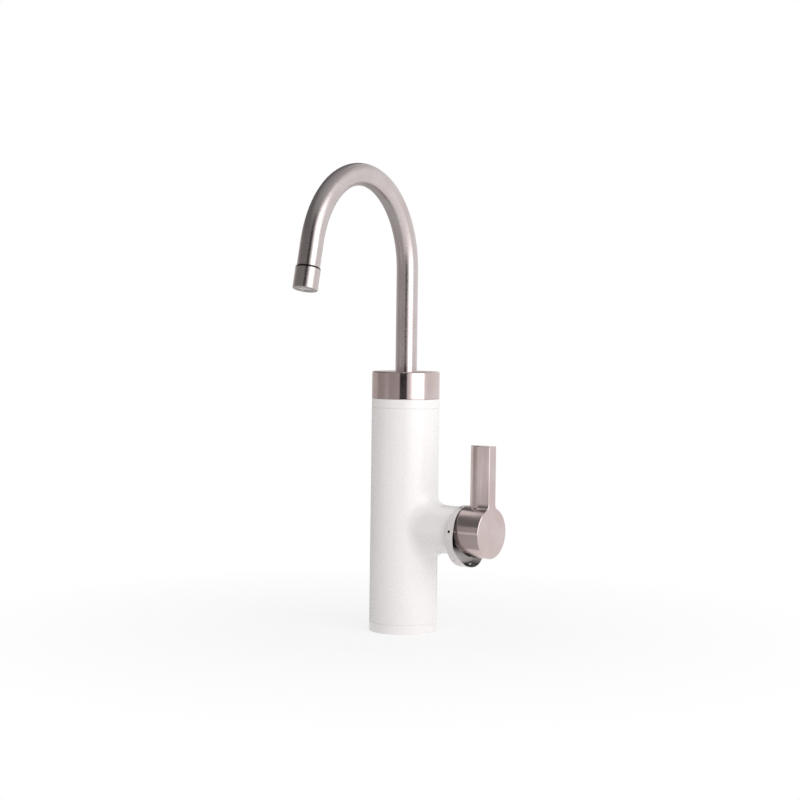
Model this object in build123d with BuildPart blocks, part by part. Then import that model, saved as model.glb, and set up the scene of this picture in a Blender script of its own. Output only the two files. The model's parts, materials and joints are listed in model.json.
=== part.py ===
from build123d import *
import math
import os

# A single-lever kitchen mixer tap with a filter inside its body.
# Millimetres. The origin is where the body's axis meets the deck, +Z is up,
# the lever branch points along +X and straight ahead is -Y.

# Clearances
slip_fit = 0.05         # parts of one assembly that slide together
running_fit = 0.05      # a shaft or a pin that turns in its bore
free_gap = 0.3          # moving faces that never touch
face_gap = 0.1          # ceramic faces that slide on a film of water

# Body
body_radius = 30.0
body_height = 206.0     # deck to the underside of the collar
shell_wall = 2.5
base_ring_height = 8.0
neck_ring_height = 8.0
seam_chamfer = 0.5
base_flange = 3.0
base_opening = 18.0
spigot_height = 3.0
spigot_wall = 2.9

# Deck gasket and the screws of the base ring
gasket_inset = 1.5      # from the edge of the base ring
gasket_width = 4.0
gasket_thickness = 1.5
base_screw_count = 3
screw_radius = 1.5
screw_head_radius = 2.4
screw_length = 9.0
screw_socket_radius = 0.9
first_screw_angle = 180.0
countersink_angle = 45.0
socket_sides = 6        # hexagon sockets of all the screws

# Inlet block and risers
inlet_block_height = 14.0
inlet_block_chamfer = 1.0
port_spacing = 14.0     # hot to cold, in the inlet block and the valve
riser_setback = 6.0     # risers stand this far behind the body's axis
inlet_thread_radius = 4.5
inlet_thread_length = 8.0
stud_thread_radius = 3.4
stud_thread_length = 10.0
stud_offset = 10.0
riser_radius = 4.0
riser_wall = 0.8
riser_seat = 5.0
riser_seal_drop = 2.5   # below the riser's upper end

# Branch and valve housing
branch_height = 93.0
branch_radius = 21.0
branch_length = 63.0
branch_wall = 2.3
branch_fillet = 15.0
housing_back = -16.0
housing_chamfer = 1.5
chamber_radius = 14.1
chamber_end_gap = 0.3
riser_socket_depth = 10.4
channel_radius = 2.5
outlet_channel_radius = 3.0
outlet_seal_rise = 3.5  # above the floor of the outlet socket

# Mixing cartridge
pivot_setback = 12.5    # lever pivot behind the rim of the drum
finger_length = 10.1
ball_radius = 2.4
finger_radius = 1.5
driver_radius = 8.4
disc_thickness = 3.0
moving_disc_radius = 9.6
fixed_disc_radius = 12.4
cartridge_base_thickness = 4.0
cartridge_wall = 1.5
inlet_port_radius = 2.0
outlet_port_radius = 2.5
outlet_port_drop = 6.0
port_seal_wire = 0.6
port_seal_radius = 2.75
mixing_pocket_depth = 1.5
mixing_pocket_width = 15.0
mixing_pocket_height = 4.6
mixing_pocket_drop = 5.3
carrier_flange_radius = 12.2
carrier_flange = 2.5
carrier_radius = 9.6
carrier_nose = 8.0      # carrier in front of the pivot
shoulder_thickness = 2.3
neck_wall = 1.6
neck_nose = 11.0        # cartridge neck in front of the pivot
pin_radius = 2.0
pin_inset = 0.5         # pin ends below the round of the carrier
stem_side = 7.0
stem_reach = 30.0       # pivot to the outer end of the stem
stem_eye_radius = 4.5
swing_room_up = 5.5
swing_room_down = 7.2
nut_length = 5.0
nut_notch_count = 4
nut_notch_width = 3.0
nut_notch_depth = 2.0

# Bezel ring at the mouth of the branch: a cup that leaves the drum room to swing below
bezel_room = 4.1        # more than the drum's radius, so that the drum can swing
bezel_drop = 4.2        # its axis lies below the branch's
bezel_wall = 0.5
bezel_floor = 1.2
bezel_length = 4.5          # above the drum
bezel_cheek_length = 6.9    # on both sides of the drum
bezel_lip_length = 11.5     # under the drum
bezel_cheek_rise = 4.0      # cheeks above the branch's axis
bezel_cheek_drop = 16.0     # cheeks below the branch's axis
bezel_edge = 0.2
spanner_hole_count = 6
spanner_hole_radius = 1.3
first_spanner_angle = 167.0

# Handle
drum_gap = 1.0
drum_radius = 22.0
drum_length = 24.5
drum_wall = 2.5
drum_end_wall = 4.5
drum_edge = 0.35
relief_start = 9.0      # below the axis
relief_length = 7.0     # along the underside of the drum
hub_radius = 7.5
hub_length = 14.5
lever_setback = 2.3     # rim of the drum to the back of the lever
lever_width = 10.5
lever_rise = 75.0
lever_back_length = 11.0    # of the half ellipse behind its flat sides
lever_foot_fillet = 5.0     # under the flat sides
lever_top_round = 0.4
set_screw_radius = 2.0
set_screw_length = 4.0
set_screw_inset = 4.0
set_screw_socket_radius = 1.1
set_screw_socket_depth = 1.6
tilt_limit = 18.0       # degrees
cut_margin = 1.0        # how far a cut runs on past an open side

# Filter
canister_gap = 2.6
canister_floor = 2.0
canister_wall = 2.0
canister_flange = 4.0
canister_flange_width = 2.2
canister_neck_gap = 4.0
canister_rib_count = 4
canister_rib_height = 2.0
canister_rib_width = 3.0
lid_plug_length = 10.0
lid_cap_height = 10.0
waterway_radius = 5.0
nipple_radius = 5.0
nipple_bore = 3.5
nipple_length = 10.0
filter_gap = 3.0        # water between the filter and its canister
filter_bore = 8.0
fleece_thickness = 1.2
filter_cap_thickness = 4.0
filter_cap_lip = 0.5
filter_spigot_radius = 6.9
filter_spigot_length = 9.0
lid_seal_rise = 3.0     # seals of the lid and of the filter, above the lid's underside
o_ring_wire = 0.9       # radius of the wire

# Collar
collar_height = 24.0
collar_wall = 2.5
collar_top_wall = 3.0
collar_chamfer = 0.8

# Spout
spout_angle = -84.0     # where the spout rests, in degrees from +X
tube_radius = 9.5
tube_wall = 1.0
tube_rise = 88.7        # collar to the start of the bend
bend_radius = 79.1
bend_sweep = 166.0
outlet_straight = 40.0
socket_radius = 15.0
socket_floor = 2.0
socket_depth = 12.0
spigot_radius = 8.0
spigot_waterway = 5.5
spigot_overlap = 7.0    # spigot inside the tube
spout_ring_heights = (2.7, 6.2)
lock_groove_height = 9.5    # above the floor of the socket's bore
lock_groove_depth = 1.0
lock_screw_radius = 2.0
lock_socket_radius = 1.1
lock_socket_depth = 2.0
lock_tip_radius = 1.0
glide_ring_thickness = 1.5
glide_ring_radius = 13.0

# Aerator
aerator_radius = 10.3
aerator_length = 18.5
aerator_seam = 0.15
aerator_seam_chamfer = 0.35
aerator_bush_length = 12.0
aerator_bush_shoulder = 2.5
aerator_thread_radius = 7.5
aerator_bore = 6.9
aerator_lip = 0.8
aerator_lip_radius = 6.2
aerator_seal_thickness = 1.5
aerator_seal_bore = 5.5
straightener_thickness = 4.0
straightener_wall = 0.9
jet_radius = 0.75
jet_rings = ((2.2, 6), (4.4, 12))   # radius of each ring and its number of bores

# Heights along the body
shell_inner = body_radius - shell_wall
fitted_radius = shell_inner - free_gap
shell_top = body_height - neck_ring_height
collar_top = body_height + collar_height
inlet_block_top = base_flange + inlet_block_height
port_offset = port_spacing / 2
neck_inner = fitted_radius - spigot_wall
gasket_outer = body_radius - gasket_inset
gasket_inner = gasket_outer - gasket_width
base_screw_circle = (base_opening + gasket_inner) / 2
housing_radius = branch_radius - branch_wall - free_gap
riser_top = branch_height - housing_radius + riser_socket_depth
canister_top = shell_top - canister_neck_gap
canister_bottom = branch_height + housing_radius + canister_gap
canister_radius = fitted_radius - canister_flange_width
canister_inner = canister_radius - canister_wall
filter_radius = canister_inner - filter_cap_lip - filter_gap
lid_radius = neck_inner - free_gap
lid_bottom = canister_top - lid_plug_length
lid_top = canister_top + lid_cap_height
filter_bottom = canister_bottom + canister_floor + canister_rib_height
filter_top = lid_bottom - filter_cap_thickness
socket_base = lid_top
socket_bore_floor = socket_base + socket_floor
socket_top = socket_bore_floor + socket_depth
tube_foot = socket_top + glide_ring_thickness + free_gap
bend_start = collar_top + tube_rise
groove_size = 2 * (o_ring_wire + slip_fit)
bezel_bore = drum_radius + bezel_room
bezel_radius = bezel_bore + bezel_wall

# Places along the branch, measured from the body's axis
bezel_front = branch_length + bezel_length
bezel_cheek_front = branch_length + bezel_cheek_length
bezel_lip_front = branch_length + bezel_lip_length
bezel_seat = branch_length + bezel_floor
rim = bezel_front + drum_gap
end_face = rim + drum_length
pivot = rim - pivot_setback
ball_centre = pivot - finger_length
driver_thickness = 2 * (ball_radius + free_gap)
driver_back = ball_centre - driver_thickness / 2
driver_front = ball_centre + driver_thickness / 2
moving_disc_back = driver_back - disc_thickness
fixed_disc_front = moving_disc_back - face_gap
fixed_disc_back = fixed_disc_front - disc_thickness
chamber_floor = fixed_disc_back - cartridge_base_thickness
flange_back = driver_front + free_gap
flange_front = flange_back + carrier_flange
shoulder_back = flange_front + free_gap
shoulder_front = shoulder_back + shoulder_thickness
nut_front = shoulder_front + nut_length
chamber_mouth = branch_length - chamber_end_gap
neck_bore = carrier_radius + free_gap
neck_radius = neck_bore + neck_wall
disc_travel = finger_length * math.radians(tilt_limit)

# Planes and axes
branch_axis = Axis((0, 0, branch_height), (1, 0, 0))
branch_section = Plane(origin=(0, 0, branch_height), x_dir=(1, 0, 0), z_dir=(0, -1, 0))
spout_turn = math.radians(spout_angle)
spout_ahead = Vector(math.cos(spout_turn), math.sin(spout_turn), 0)
spout_side = Vector(-math.sin(spout_turn), math.cos(spout_turn), 0)
spout_plane = Plane(origin=(0, 0, 0), x_dir=spout_ahead, z_dir=-spout_side)
sweep_turn = math.radians(bend_sweep)
outlet_direction = spout_ahead * math.sin(sweep_turn) + Vector(0, 0, math.cos(sweep_turn))
bend_end = (
    spout_ahead * (bend_radius * (1 - math.cos(sweep_turn)))
    + Vector(0, 0, bend_start + bend_radius * math.sin(sweep_turn))
)
outlet_axis = Axis(bend_end, outlet_direction)
outlet_section = Plane(origin=bend_end, x_dir=spout_side, z_dir=spout_side.cross(outlet_direction))


def branch_plane(distance):
    """A plane across the branch, local x along +Y and local y along +Z."""
    return Plane(origin=(distance, 0, branch_height), x_dir=(0, 1, 0), z_dir=(1, 0, 0))


def band(inner, outer, low, high, mode=Mode.ADD):
    """A rectangle of an upright turned section: radius across, height up."""
    with Locations((inner, low)):
        Rectangle(outer - inner, high - low, align=(Align.MIN, Align.MIN), mode=mode)


def sleeve(back, front, inner, outer, mode=Mode.ADD):
    """A rectangle of a section turned about the branch: length across, radius up."""
    with Locations((back, inner)):
        Rectangle(front - back, outer - inner, align=(Align.MIN, Align.MIN), mode=mode)


def wire_spot(radius, place):
    """The round section of an O-ring of the common wire size."""
    with Locations((radius, place)):
        Circle(o_ring_wire)


os.makedirs("parts", exist_ok=True)

# Deck gasket, in its groove under the base ring
with BuildPart() as base_gasket:
    with BuildSketch(Plane.XZ):
        band(gasket_inner, gasket_outer, 0, gasket_thickness)
    revolve(axis=Axis.Z)
base_gasket.part.label = "base_gasket"
export_step(base_gasket.part, "parts/base_gasket.step")

# Base ring, which carries the inlet block on its flange
with BuildPart() as base_ring:
    with BuildSketch(Plane.XZ):
        band(fitted_radius + slip_fit, body_radius, 0, base_ring_height)
        band(base_opening, body_radius, 0, base_flange)
        band(gasket_inner - slip_fit, gasket_outer + slip_fit, 0, gasket_thickness, Mode.SUBTRACT)
    revolve(axis=Axis.Z)
    rim_edges = base_ring.edges().filter_by(GeomType.CIRCLE).group_by(Axis.Z)[-1]
    chamfer(rim_edges.sort_by(SortBy.RADIUS)[-1], seam_chamfer)
    with BuildSketch(Plane.XY):
        with PolarLocations(base_screw_circle, base_screw_count, first_screw_angle):
            Circle(screw_radius + slip_fit)
    extrude(amount=base_flange, mode=Mode.SUBTRACT)
    with BuildSketch(Plane.XY):
        with PolarLocations(base_screw_circle, base_screw_count, first_screw_angle):
            Circle(screw_head_radius + slip_fit)
    extrude(amount=screw_head_radius - screw_radius, taper=countersink_angle, mode=Mode.SUBTRACT)
base_ring.part.label = "base_ring"
export_step(base_ring.part, "parts/base_ring.step")

# Countersunk screws that hold the base ring to the inlet block
with BuildPart() as base_screws:
    with BuildSketch(Plane.XY):
        with PolarLocations(base_screw_circle, base_screw_count, first_screw_angle):
            Circle(screw_head_radius)
    extrude(amount=screw_head_radius - screw_radius, taper=countersink_angle)
    with BuildSketch(Plane.XY):
        with PolarLocations(base_screw_circle, base_screw_count, first_screw_angle):
            Circle(screw_radius)
    extrude(amount=screw_length)
    with BuildSketch(Plane.XY):
        with PolarLocations(base_screw_circle, base_screw_count, first_screw_angle):
            RegularPolygon(screw_socket_radius, socket_sides)
    extrude(amount=screw_radius, mode=Mode.SUBTRACT)
base_screws.part.label = "base_screws"
export_step(base_screws.part, "parts/base_screws.step")

# Inlet block: two hose threads and a stud thread below, two riser seats above
with BuildPart() as inlet_block:
    with BuildSketch(Plane.XY.offset(base_flange)):
        Circle(fitted_radius)
    extrude(amount=inlet_block_height)
    chamfer(inlet_block.edges().filter_by(GeomType.CIRCLE).sort_by(Axis.Z)[-1], inlet_block_chamfer)
    with BuildSketch(Plane.XY.offset(base_flange)):
        with Locations((-riser_setback, port_offset), (-riser_setback, -port_offset)):
            Circle(inlet_thread_radius)
    extrude(amount=inlet_thread_length, mode=Mode.SUBTRACT)
    with BuildSketch(Plane.XY.offset(base_flange)):
        with Locations((-riser_setback, port_offset), (-riser_setback, -port_offset)):
            Circle(riser_radius - riser_wall)
    extrude(amount=inlet_block_height, mode=Mode.SUBTRACT)
    with BuildSketch(Plane.XY.offset(inlet_block_top - riser_seat)):
        with Locations((-riser_setback, port_offset), (-riser_setback, -port_offset)):
            Circle(riser_radius + slip_fit)
    extrude(amount=riser_seat, mode=Mode.SUBTRACT)
    with BuildSketch(Plane.XY.offset(base_flange)):
        with Locations((stud_offset, 0)):
            Circle(stud_thread_radius)
    extrude(amount=stud_thread_length, mode=Mode.SUBTRACT)
    with BuildSketch(Plane.XY.offset(base_flange)):
        with PolarLocations(base_screw_circle, base_screw_count, first_screw_angle):
            Circle(screw_radius + slip_fit)
    extrude(amount=screw_length - base_flange + free_gap, mode=Mode.SUBTRACT)
inlet_block.part.label = "inlet_block"
export_step(inlet_block.part, "parts/inlet_block.step")

# Hot riser, from the inlet block up to the valve housing
with BuildPart() as hot_riser:
    with BuildSketch(Plane.XY.offset(inlet_block_top - riser_seat)):
        with Locations((-riser_setback, -port_offset)):
            Circle(riser_radius)
            Circle(riser_radius - riser_wall, mode=Mode.SUBTRACT)
    extrude(amount=riser_top - inlet_block_top + riser_seat - slip_fit)
hot_riser.part.label = "hot_riser"
export_step(hot_riser.part, "parts/hot_riser.step")

# Cold riser
with BuildPart() as cold_riser:
    with BuildSketch(Plane.XY.offset(inlet_block_top - riser_seat)):
        with Locations((-riser_setback, port_offset)):
            Circle(riser_radius)
            Circle(riser_radius - riser_wall, mode=Mode.SUBTRACT)
    extrude(amount=riser_top - inlet_block_top + riser_seat - slip_fit)
cold_riser.part.label = "cold_riser"
export_step(cold_riser.part, "parts/cold_riser.step")

# O-rings round the upper ends of the risers
riser_seal_height = riser_top - riser_seal_drop
riser_seal_radius = riser_radius + slip_fit + o_ring_wire
with BuildPart() as riser_o_rings:
    for side in (-1, 1):
        seal_axis = Axis((-riser_setback, side * port_offset, 0), (0, 0, 1))
        with BuildSketch(Plane.XZ.offset(-side * port_offset)):
            wire_spot(riser_seal_radius - riser_setback, riser_seal_height)
        revolve(axis=seal_axis)
riser_o_rings.part.label = "riser_o_rings"
export_step(riser_o_rings.part, "parts/riser_o_rings.step")

# Body shell: the white upright tube with the branch faired into its side
with BuildPart() as body_shell:
    with BuildSketch(Plane.XY.offset(base_ring_height)):
        Circle(body_radius)
    extrude(amount=shell_top - base_ring_height)
    with BuildSketch(branch_plane(0)):
        Circle(branch_radius)
    extrude(amount=branch_length)
    end_edges = body_shell.edges().filter_by(GeomType.CIRCLE)
    junction = body_shell.edges().filter_by(GeomType.LINE, reverse=True) - end_edges
    fillet(junction, branch_fillet)
    seam_edges = body_shell.edges().filter_by(GeomType.CIRCLE)
    chamfer(seam_edges.sort_by(Axis.Z)[0], seam_chamfer)
    chamfer(body_shell.edges().filter_by(GeomType.CIRCLE).sort_by(Axis.Z)[-1], seam_chamfer)
    with BuildSketch(Plane.XY.offset(base_ring_height)):
        Circle(shell_inner)
    extrude(amount=shell_top - base_ring_height, mode=Mode.SUBTRACT)
    with BuildSketch(branch_plane(0)):
        Circle(branch_radius - branch_wall)
    extrude(amount=branch_length, mode=Mode.SUBTRACT)
body_shell.part.label = "body_shell"
export_step(body_shell.part, "parts/body_shell.step")

# Valve housing: a brass bar in the branch, bored for the mixing cartridge
outlet_socket_floor = branch_height + housing_radius - nipple_length + canister_gap - slip_fit
outlet_seal_height = outlet_socket_floor + outlet_seal_rise
outlet_seal_radius = nipple_radius + slip_fit + o_ring_wire
with BuildPart() as valve_housing:
    with BuildSketch(branch_plane(housing_back)):
        Circle(housing_radius)
    extrude(amount=chamber_mouth - housing_back)
    chamfer(valve_housing.edges().filter_by(GeomType.CIRCLE).sort_by(Axis.X)[0], housing_chamfer)
    with BuildSketch(branch_plane(chamber_floor)):
        Circle(chamber_radius)
    extrude(amount=chamber_mouth - chamber_floor, mode=Mode.SUBTRACT)
    # Hot and cold ways, up from the risers and forward to the cartridge
    with BuildSketch(Plane.XY.offset(branch_height - housing_radius)):
        with Locations((-riser_setback, port_offset), (-riser_setback, -port_offset)):
            Circle(riser_radius + slip_fit)
    extrude(amount=riser_socket_depth, mode=Mode.SUBTRACT)
    with BuildSketch(Plane.XY.offset(riser_seal_height - groove_size / 2)):
        with Locations((-riser_setback, port_offset), (-riser_setback, -port_offset)):
            Circle(riser_radius + groove_size)
    extrude(amount=groove_size, mode=Mode.SUBTRACT)
    with BuildSketch(Plane.XY.offset(riser_top - slip_fit)):
        with Locations((-riser_setback, port_offset), (-riser_setback, -port_offset)):
            Circle(channel_radius)
    extrude(amount=branch_height - riser_top + channel_radius, mode=Mode.SUBTRACT)
    with BuildSketch(branch_plane(-riser_setback)):
        with Locations((port_offset, 0), (-port_offset, 0)):
            Circle(channel_radius)
    extrude(amount=chamber_floor + riser_setback, mode=Mode.SUBTRACT)
    # Mixed water, back from the cartridge and up to the filter
    with BuildSketch(branch_plane(0)):
        with Locations((0, -outlet_port_drop)):
            Circle(outlet_channel_radius)
    extrude(amount=chamber_floor, mode=Mode.SUBTRACT)
    with BuildSketch(Plane.XY.offset(branch_height - outlet_port_drop)):
        Circle(outlet_channel_radius)
    extrude(amount=housing_radius, mode=Mode.SUBTRACT)
    with BuildSketch(Plane.XY.offset(outlet_socket_floor)):
        Circle(nipple_radius + slip_fit)
    extrude(amount=nipple_length, mode=Mode.SUBTRACT)
    with BuildSketch(Plane.XY.offset(outlet_seal_height - groove_size / 2)):
        Circle(nipple_radius + groove_size)
    extrude(amount=groove_size, mode=Mode.SUBTRACT)
valve_housing.part.label = "valve_housing"
export_step(valve_housing.part, "parts/valve_housing.step")

# O-ring round the nipple of the filter canister
with BuildPart() as outlet_o_ring:
    with BuildSketch(Plane.XZ):
        wire_spot(outlet_seal_radius, outlet_seal_height)
    revolve(axis=Axis.Z)
outlet_o_ring.part.label = "outlet_o_ring"
export_step(outlet_o_ring.part, "parts/outlet_o_ring.step")

# Ports of the cartridge, on the planes across the branch
inlet_ports = ((port_offset, 0), (-port_offset, 0))
outlet_port = (0, -outlet_port_drop)

# Cartridge base, with a recess for a seal round each port
with BuildPart() as cartridge_base:
    with BuildSketch(branch_plane(chamber_floor)):
        Circle(chamber_radius - slip_fit)
    extrude(amount=cartridge_base_thickness)
    with BuildSketch(branch_plane(chamber_floor)):
        with Locations(*inlet_ports):
            Circle(inlet_port_radius)
        with Locations(outlet_port):
            Circle(outlet_port_radius)
    extrude(amount=cartridge_base_thickness, mode=Mode.SUBTRACT)
    with BuildSketch(branch_plane(chamber_floor)):
        with Locations(*inlet_ports, outlet_port):
            Circle(port_seal_radius + port_seal_wire + slip_fit)
    extrude(amount=2 * (port_seal_wire + slip_fit), mode=Mode.SUBTRACT)
cartridge_base.part.label = "cartridge_base"
export_step(cartridge_base.part, "parts/cartridge_base.step")

# Seals between the cartridge and the valve housing
with BuildPart() as port_seals:
    for across, up in (*inlet_ports, outlet_port):
        port_axis = Axis((0, across, branch_height + up), (1, 0, 0))
        with BuildSketch(branch_section.offset(-across)):
            with Locations((chamber_floor + slip_fit + port_seal_wire, up + port_seal_radius)):
                Circle(port_seal_wire)
        revolve(axis=port_axis)
port_seals.part.label = "port_seals"
export_step(port_seals.part, "parts/port_seals.step")

# Fixed ceramic disc
with BuildPart() as fixed_disc:
    with BuildSketch(branch_plane(fixed_disc_back)):
        Circle(fixed_disc_radius)
        with Locations(*inlet_ports):
            Circle(inlet_port_radius, mode=Mode.SUBTRACT)
        with Locations(outlet_port):
            Circle(outlet_port_radius, mode=Mode.SUBTRACT)
    extrude(amount=disc_thickness)
fixed_disc.part.label = "fixed_disc"
export_step(fixed_disc.part, "parts/fixed_disc.step")

# Moving ceramic disc, at the closed end of its travel, with the mixing pocket in its back
with BuildPart() as moving_disc:
    with BuildSketch(branch_plane(moving_disc_back)):
        with Locations((0, -disc_travel / 2)):
            Circle(moving_disc_radius)
    extrude(amount=disc_thickness)
    with BuildSketch(branch_plane(moving_disc_back)):
        with Locations((0, -mixing_pocket_drop)):
            SlotOverall(mixing_pocket_width, mixing_pocket_height)
    extrude(amount=mixing_pocket_depth, mode=Mode.SUBTRACT)
moving_disc.part.label = "moving_disc"
export_step(moving_disc.part, "parts/moving_disc.step")

# Driver on the back of the moving disc, which takes the ball of the lever stem
with BuildPart() as disc_driver:
    with BuildSketch(branch_plane(driver_back)):
        with Locations((0, -disc_travel / 2)):
            Circle(driver_radius)
        Rectangle(2 * (ball_radius + free_gap), 2 * (ball_radius + free_gap), mode=Mode.SUBTRACT)
    extrude(amount=driver_thickness)
disc_driver.part.label = "disc_driver"
export_step(disc_driver.part, "parts/disc_driver.step")

# Cartridge housing: cup round the discs and the neck that the carrier turns in
with BuildPart() as cartridge_housing:
    with BuildSketch(branch_section):
        sleeve(fixed_disc_back, shoulder_front, chamber_radius - slip_fit - cartridge_wall,
               chamber_radius - slip_fit)
        sleeve(shoulder_back, shoulder_front, neck_bore, chamber_radius - slip_fit)
        sleeve(shoulder_back, pivot + neck_nose, neck_bore, neck_radius)
    revolve(axis=branch_axis)
cartridge_housing.part.label = "cartridge_housing"
export_step(cartridge_housing.part, "parts/cartridge_housing.step")

# Ring nut that holds the cartridge down
with BuildPart() as cartridge_nut:
    with BuildSketch(branch_section):
        sleeve(shoulder_front, nut_front, neck_radius + slip_fit, chamber_radius - slip_fit)
    revolve(axis=branch_axis)
    notch_centre = (neck_radius + chamber_radius) / 2
    with BuildSketch(branch_plane(nut_front)):
        with PolarLocations(notch_centre, nut_notch_count):
            Rectangle(2 * (chamber_radius - neck_radius), nut_notch_width)
    extrude(amount=-nut_notch_depth, mode=Mode.SUBTRACT)
cartridge_nut.part.label = "cartridge_nut"
export_step(cartridge_nut.part, "parts/cartridge_nut.step")

# Bezel ring: a cup on the mouth of the branch, with a skirt that holds it in the valve
# chamber, a cheek on each side of the drum, a lip under it and holes for a hook spanner
bezel_bottom = -bezel_drop - bezel_radius
bezel_holes_place = (bezel_seat + bezel_front) / 2
with BuildPart() as bezel_ring:
    with BuildSketch(branch_plane(branch_length)):
        with Locations((0, -bezel_drop)):
            Circle(bezel_radius)
    extrude(amount=bezel_lip_length)
    with BuildSketch(branch_plane(bezel_seat)):
        with Locations((0, -bezel_drop)):
            Circle(bezel_bore)
    extrude(amount=bezel_lip_length, mode=Mode.SUBTRACT)
    back_edges = bezel_ring.edges().filter_by(GeomType.CIRCLE).group_by(Axis.X)[0]
    chamfer(back_edges, bezel_edge)
    # The mouth, from its top down along the cheeks and out to the lip
    with BuildSketch(branch_section):
        with BuildLine():
            Polyline(
                (bezel_front, bezel_radius),
                (bezel_front, drum_radius),
                (bezel_cheek_front, bezel_cheek_rise),
                (bezel_cheek_front, -bezel_cheek_drop),
                (bezel_lip_front, bezel_bottom),
                (bezel_lip_front + cut_margin, bezel_bottom),
                (bezel_lip_front + cut_margin, bezel_radius),
                close=True,
            )
        make_face()
    extrude(amount=bezel_radius, both=True, mode=Mode.SUBTRACT)
    with BuildSketch(branch_section):
        sleeve(nut_front + free_gap, bezel_seat, neck_radius + free_gap, chamber_radius - slip_fit)
    revolve(axis=branch_axis)
    with BuildSketch(branch_plane(branch_length)):
        Circle(neck_radius + free_gap)
    extrude(amount=bezel_floor, mode=Mode.SUBTRACT)
    for number in range(spanner_hole_count):
        turn = math.radians(first_spanner_angle + number * 360 / spanner_hole_count)
        outward = Vector(0, math.cos(turn), math.sin(turn))
        hole_centre = Vector(bezel_holes_place, 0, branch_height - bezel_drop)
        with BuildSketch(Plane(origin=hole_centre + outward * bezel_radius, z_dir=outward)):
            Circle(spanner_hole_radius)
        extrude(amount=-bezel_wall - cut_margin, mode=Mode.SUBTRACT)
bezel_ring.part.label = "bezel_ring"
export_step(bezel_ring.part, "parts/bezel_ring.step")

# Carrier: turns in the neck of the cartridge and holds the lever pin
with BuildPart() as lever_carrier:
    with BuildSketch(branch_section):
        sleeve(flange_back, flange_front, 0, carrier_flange_radius)
        sleeve(flange_back, pivot + carrier_nose, 0, carrier_radius)
    revolve(axis=branch_axis)
    slot_height = swing_room_up + swing_room_down
    slot_centre = (swing_room_up - swing_room_down) / 2
    with BuildSketch(branch_plane(flange_back)):
        with Locations((0, slot_centre)):
            Rectangle(stem_side + free_gap, slot_height)
    extrude(amount=pivot + carrier_nose - flange_back, mode=Mode.SUBTRACT)
    with BuildSketch(branch_section):
        with Locations((pivot, 0)):
            Circle(pin_radius)
    extrude(amount=carrier_radius, both=True, mode=Mode.SUBTRACT)
lever_carrier.part.label = "lever_carrier"
export_step(lever_carrier.part, "parts/lever_carrier.step")

# Pin that the lever tilts on
with BuildPart() as lever_pin:
    with BuildSketch(branch_section):
        with Locations((pivot, 0)):
            Circle(pin_radius)
    extrude(amount=carrier_radius - pin_inset, both=True)
lever_pin.part.label = "lever_pin"
export_step(lever_pin.part, "parts/lever_pin.step")

# Lever stem: square outside, an eye on the pin, a finger and a ball in the driver
with BuildPart() as lever_stem:
    with BuildSketch(branch_section):
        with Locations((pivot, 0)):
            Circle(stem_eye_radius)
        with Locations((pivot, -stem_side / 2)):
            Rectangle(stem_reach, stem_side, align=(Align.MIN, Align.MIN))
    extrude(amount=stem_side / 2, both=True)
    with BuildSketch(branch_plane(ball_centre)):
        Circle(finger_radius)
    extrude(amount=finger_length)
    with Locations((ball_centre, 0, branch_height)):
        Sphere(ball_radius)
    with BuildSketch(branch_section):
        with Locations((pivot, 0)):
            Circle(pin_radius + running_fit)
    extrude(amount=stem_side, both=True, mode=Mode.SUBTRACT)
lever_stem.part.label = "lever_stem"
export_step(lever_stem.part, "parts/lever_stem.step")

# Handle: hollow drum, upright lever and the hub that grips the stem
hub_back = end_face - drum_end_wall - hub_length
stem_end = pivot + stem_reach
set_screw_place = hub_back + set_screw_inset
lever_flats = drum_length - lever_setback - lever_back_length
with BuildPart() as handle:
    with BuildSketch(branch_plane(end_face)) as front_outline:
        Circle(drum_radius)
        with Locations((0, lever_rise / 2)):
            Rectangle(lever_width, lever_rise)
        lever_foot = front_outline.vertices().sort_by(Axis.Y)[-4:-2]
        fillet(lever_foot, lever_foot_fillet)
    extrude(amount=-lever_flats)
    with BuildSketch(Plane.XY.offset(branch_height)):
        with Locations((end_face - lever_flats, 0)):
            Ellipse(lever_back_length, lever_width / 2)
    extrude(amount=lever_rise)
    with BuildSketch(branch_plane(rim)):
        Circle(drum_radius)
    extrude(amount=drum_length)
    chamfer(handle.faces().sort_by(Axis.X)[-1].edges(), drum_edge)
    top_edges = handle.faces().sort_by(Axis.Z)[-1].edges()
    fillet(top_edges, lever_top_round)
    with BuildSketch(branch_plane(rim)):
        Circle(drum_radius - drum_wall)
        Circle(hub_radius, mode=Mode.SUBTRACT)
    extrude(amount=drum_length - drum_end_wall, mode=Mode.SUBTRACT)
    with BuildSketch(branch_plane(rim)):
        Circle(hub_radius)
    extrude(amount=hub_back - rim, mode=Mode.SUBTRACT)
    with BuildSketch(branch_plane(hub_back)):
        Rectangle(stem_side + 2 * slip_fit, stem_side + 2 * slip_fit)
    extrude(amount=stem_end - hub_back + slip_fit, mode=Mode.SUBTRACT)
    with BuildSketch(Plane.XY.offset(branch_height)):
        with Locations((set_screw_place, 0)):
            Circle(set_screw_radius + slip_fit)
    extrude(amount=-hub_radius, mode=Mode.SUBTRACT)
    # Relief under the drum, so that the lever can tilt outwards
    slope = relief_length / (drum_radius - relief_start)
    relief_bottom = -drum_radius - cut_margin
    with BuildSketch(branch_section):
        with BuildLine():
            Polyline(
                (rim - cut_margin, -relief_start),
                (rim, -relief_start),
                (rim - slope * (relief_bottom + relief_start), relief_bottom),
                (rim - cut_margin, relief_bottom),
                close=True,
            )
        make_face()
    extrude(amount=drum_radius, both=True, mode=Mode.SUBTRACT)
handle.part.label = "handle"
export_step(handle.part, "parts/handle.step")

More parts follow.
